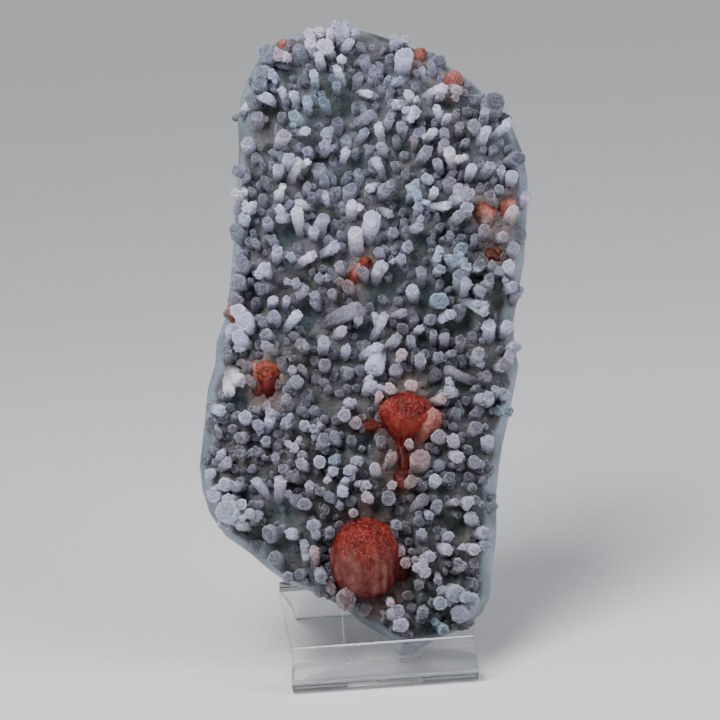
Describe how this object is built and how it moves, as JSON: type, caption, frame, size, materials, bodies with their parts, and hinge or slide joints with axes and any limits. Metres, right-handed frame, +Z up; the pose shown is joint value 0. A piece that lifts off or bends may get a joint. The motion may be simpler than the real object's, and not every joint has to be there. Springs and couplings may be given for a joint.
{
  "type": "botryoidal chalcedony specimen on an easel",
  "caption": "Tall slab of frosted grey chalcedony covered in stubby finger-like stalactites, with red barrel-shaped heulandite crystals, leaning on a clear acrylic easel.",
  "frame": {"origin": "on the table, in the flat underside of the easel's ledge, midway across it", "axes": "+Z up; -Y out of the specimen's front, towards the viewer; +X to the viewer's right"},
  "size_m": [0.1203, 0.0929, 0.2169],
  "materials": {
    "chalcedony": "matte",
    "heulandite": "satin",
    "clear_acrylic": "polished"
  },
  "bodies": {
    "root": {"acrylic_stand": "clear_acrylic", "chalcedony_plate": "chalcedony", "heulandite_barrel": "heulandite", "heulandite_sheaf": "heulandite", "heulandite_left": "heulandite", "heulandite_centre": "heulandite", "heulandite_right": "heulandite", "heulandite_right_low": "heulandite", "heulandite_top_left": "heulandite", "heulandite_top_middle": "heulandite", "heulandite_top_right": "heulandite", "heulandite_left_edge": "heulandite"}
  },
  "joints": []
}
